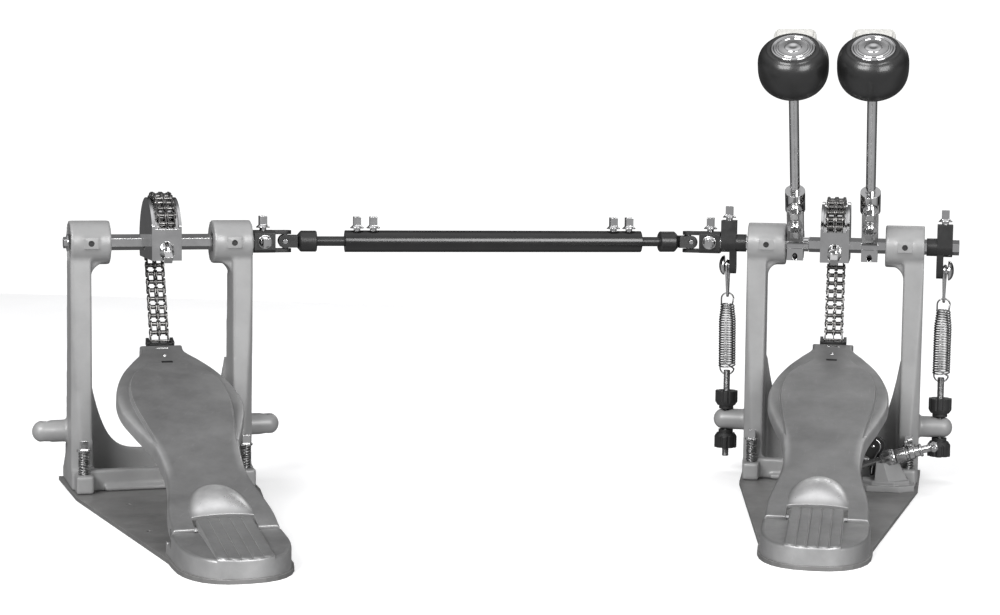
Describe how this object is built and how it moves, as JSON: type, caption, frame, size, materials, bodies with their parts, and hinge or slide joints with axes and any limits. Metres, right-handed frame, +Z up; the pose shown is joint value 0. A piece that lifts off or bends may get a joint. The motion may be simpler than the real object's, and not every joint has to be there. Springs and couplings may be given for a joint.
{
  "type": "double bass drum pedal",
  "caption": "Double bass drum pedal: a twin-beater pedal and a second pedal that drives its left beater through a telescoping shaft with universal joints.",
  "frame": {"origin": "on the floor under the middle of the main pedal's axle", "axes": "+X along the main axle, away from the second pedal; +Y towards the drum; +Z up"},
  "size_m": [0.7305, 0.5505, 0.3758],
  "materials": {
    "cast_frame": "satin light grey paint on cast metal",
    "plate": "satin grey sheet",
    "cast_board": "bare cast metal, lightly worn",
    "chromed": "polished chrome",
    "bearing": "ground steel",
    "chain": "oiled steel",
    "black_metal": "satin black",
    "tube": "gloss black",
    "knob": "satin black",
    "head": "gloss black",
    "felt": "pressed felt",
    "jaw": "bright pressed steel"
  },
  "bodies": {
    "main_frame": {"main_frame": "cast_frame", "main_base_plate": "plate", "main_heel_plate": "cast_board", "main_hardware": "chromed", "main_bearings": "bearing", "tension_rods": "chromed", "main_spur_springs": "chromed", "clamp_base": "cast_frame"},
    "main_board": {"main_footboard": "cast_board", "main_toe_clamp": "black_metal"},
    "primary_axle": {"primary_shaft": "chromed", "main_cam": "chromed", "primary_key_screws": "chromed", "main_chain_wrap": "chain", "right_hub": "chromed", "right_rocker": "black_metal"},
    "main_chain": {"main_chain_free": "chain"},
    "right_beater": {"right_beater_rod": "chromed", "right_beater_head": "head", "right_beater_felt": "felt", "right_beater_cap": "chromed"},
    "right_hook": {"right_spring_hook": "chromed"},
    "right_coil": {"right_spring": "chromed"},
    "secondary_axle": {"secondary_sleeve": "chromed", "left_hub": "chromed", "left_rocker": "black_metal", "secondary_key_screws": "chromed", "main_outer_yoke": "black_metal"},
    "left_beater": {"left_beater_rod": "chromed", "left_beater_head": "head", "left_beater_felt": "felt", "left_beater_cap": "chromed"},
    "left_hook": {"left_spring_hook": "chromed"},
    "left_coil": {"left_spring": "chromed"},
    "slave_frame": {"slave_frame": "cast_frame", "slave_base_plate": "plate", "slave_heel_plate": "cast_board", "slave_hardware": "chromed", "slave_bearings": "bearing", "slave_spur_springs": "chromed"},
    "slave_board": {"slave_footboard": "cast_board", "slave_toe_clamp": "black_metal"},
    "slave_axle": {"slave_shaft": "chromed", "slave_cam": "chromed", "slave_key_screws": "chromed", "slave_chain_wrap": "chain", "slave_outer_yoke": "black_metal"},
    "slave_chain": {"slave_chain_free": "chain"},
    "linkage": {"linkage_tube": "tube", "tube_screws": "chromed", "right_inner_yoke": "black_metal"},
    "link_rod": {"left_inner_yoke": "black_metal"},
    "left_cross": {"left_cross": "chromed"},
    "right_cross": {"right_cross": "chromed"},
    "left_knobs": {"left_knobs": "knob"},
    "right_knobs": {"right_knobs": "knob"},
    "main_spurs": {"main_spurs": "chromed"},
    "slave_spurs": {"slave_spurs": "chromed"},
    "clamp_screw": {"clamp_screw": "chromed"},
    "clamp_jaw": {"clamp_jaw": "jaw"}
  },
  "joints": [
    {"name": "main_stroke", "type": "hinge", "parent": "main_frame", "child": "primary_axle", "pos_m": [0, 0, 0.2], "axis": [-1, 0, 0], "range_deg": [0, 45], "stiffness_Nm_per_rad": 1.1, "springref_deg": -22.92},
    {"name": "main_board_tilt", "type": "hinge", "parent": "main_frame", "child": "main_board", "pos_m": [0, -0.2765, 0.019], "axis": [-1, 0, 0], "range_deg": [0, 6.7]},
    {"name": "main_chain_swing", "type": "hinge", "parent": "primary_axle", "child": "main_chain", "pos_m": [0, 0.03887, 0.20411], "axis": [-1, 0, 0], "range_deg": [-57, 0], "deforming": ["main_chain_free"]},
    {"name": "right_beater_slide", "type": "slide", "parent": "primary_axle", "child": "right_beater", "axis": [0, -0.6018, 0.7986], "range_m": [-0.008, 0.02]},
    {"name": "right_hook_swing", "type": "hinge", "parent": "primary_axle", "child": "right_hook", "pos_m": [0.0902, 0.00313, 0.18065], "axis": [-1, 0, 0], "range_deg": [-53, 0]},
    {"name": "right_spring_stretch", "type": "slide", "parent": "right_hook", "child": "right_coil", "axis": [0, 0.1599, -0.9871], "range_m": [0, 0.007], "deforming": ["right_spring"]},
    {"name": "secondary_turn", "type": "hinge", "parent": "main_frame", "child": "secondary_axle", "pos_m": [-0.06, 0, 0.2], "axis": [-1, 0, 0], "range_deg": [0, 47], "stiffness_Nm_per_rad": 1.1, "springref_deg": -22.92},
    {"name": "left_beater_slide", "type": "slide", "parent": "secondary_axle", "child": "left_beater", "axis": [0, -0.6018, 0.7986], "range_m": [-0.008, 0.02]},
    {"name": "left_hook_swing", "type": "hinge", "parent": "secondary_axle", "child": "left_hook", "pos_m": [-0.0902, 0.00313, 0.18065], "axis": [-1, 0, 0], "range_deg": [-55, 0]},
    {"name": "left_spring_stretch", "type": "slide", "parent": "left_hook", "child": "left_coil", "axis": [0, 0.1599, -0.9871], "range_m": [0, 0.0075], "deforming": ["left_spring"]},
    {"name": "slave_reach", "type": "slide", "parent": "main_frame", "child": "slave_frame", "axis": [-0.9304, -0.3665, 0], "range_m": [-0.02, 0.04]},
    {"name": "slave_stroke", "type": "hinge", "parent": "slave_frame", "child": "slave_axle", "pos_m": [-0.53125, -0.1762, 0.2], "axis": [-0.8686, -0.4955, 0], "range_deg": [0, 45]},
    {"name": "slave_board_tilt", "type": "hinge", "parent": "slave_frame", "child": "slave_board", "pos_m": [-0.39425, -0.41637, 0.019], "axis": [-0.8686, -0.4955, 0], "range_deg": [0, 6.7]},
    {"name": "slave_chain_swing", "type": "hinge", "parent": "slave_axle", "child": "slave_chain", "pos_m": [-0.5505, -0.14244, 0.20411], "axis": [-0.8686, -0.4955, 0], "range_deg": [-57, 0], "deforming": ["slave_chain_free"]},
    {"name": "linkage_spin", "type": "hinge", "parent": "main_frame", "child": "linkage", "pos_m": [-0.1236, 0, 0.2], "axis": [-0.9304, -0.3665, 0], "range_deg": [0, 45]},
    {"name": "link_rod_slide", "type": "slide", "parent": "linkage", "child": "link_rod", "axis": [-0.9304, -0.3665, 0], "range_m": [-0.02, 0.04]},
    {"name": "left_cross_rock", "type": "hinge", "parent": "link_rod", "child": "left_cross", "pos_m": [-0.44273, -0.12571, 0.2], "axis": [-0.3665, 0.9304, 0], "range_deg": [-6, 0]},
    {"name": "right_cross_rock", "type": "hinge", "parent": "linkage", "child": "right_cross", "pos_m": [-0.1236, 0, 0.2], "axis": [-0.3665, 0.9304, 0], "range_deg": [0, 16]},
    {"name": "left_knobs_turn", "type": "hinge", "parent": "main_frame", "child": "left_knobs", "pos_m": [-0.0902, 0.01858, 0.0467], "axis": [0, 0, 1], "continuous": true},
    {"name": "right_knobs_turn", "type": "hinge", "parent": "main_frame", "child": "right_knobs", "pos_m": [0.0902, 0.01858, 0.0467], "axis": [0, 0, 1], "continuous": true},
    {"name": "main_spurs_lift", "type": "slide", "parent": "main_frame", "child": "main_spurs", "axis": [0, 0, 1], "range_m": [0, 0.003]},
    {"name": "slave_spurs_lift", "type": "slide", "parent": "slave_frame", "child": "slave_spurs", "axis": [0, 0, 1], "range_m": [0, 0.003]},
    {"name": "clamp_screw_turn", "type": "hinge", "parent": "main_frame", "child": "clamp_screw", "pos_m": [0.054, -0.045, 0.03], "axis": [0.9563, 0, 0.2924], "continuous": true},
    {"name": "clamp_jaw_tilt", "type": "hinge", "parent": "main_frame", "child": "clamp_jaw", "pos_m": [0, 0.008, 0.016], "axis": [1, 0, 0], "range_deg": [-11, 2]}
  ],
  "couplings": [
    {"joint": "main_board_tilt", "follows": "main_stroke", "ratio": 0.14709},
    {"joint": "main_chain_swing", "follows": "main_stroke", "ratio": -1.2635},
    {"joint": "right_hook_swing", "follows": "main_stroke", "ratio": -1.1714},
    {"joint": "right_spring_stretch", "follows": "main_stroke", "m_per_rad": 0.0084987},
    {"joint": "slave_board_tilt", "follows": "slave_stroke", "ratio": 0.14709},
    {"joint": "slave_chain_swing", "follows": "slave_stroke", "ratio": -1.2635},
    {"joint": "linkage_spin", "follows": "slave_stroke", "ratio": 0.99346},
    {"joint": "secondary_turn", "follows": "slave_stroke", "ratio": 1.0393},
    {"joint": "left_hook_swing", "follows": "slave_stroke", "ratio": -1.2175},
    {"joint": "left_spring_stretch", "follows": "slave_stroke", "m_per_rad": 0.0088331},
    {"joint": "left_cross_rock", "follows": "slave_stroke", "ratio": -0.12863},
    {"joint": "right_cross_rock", "follows": "slave_stroke", "ratio": 0.34418},
    {"joint": "link_rod_slide", "follows": "slave_reach", "ratio": 1}
  ]
}
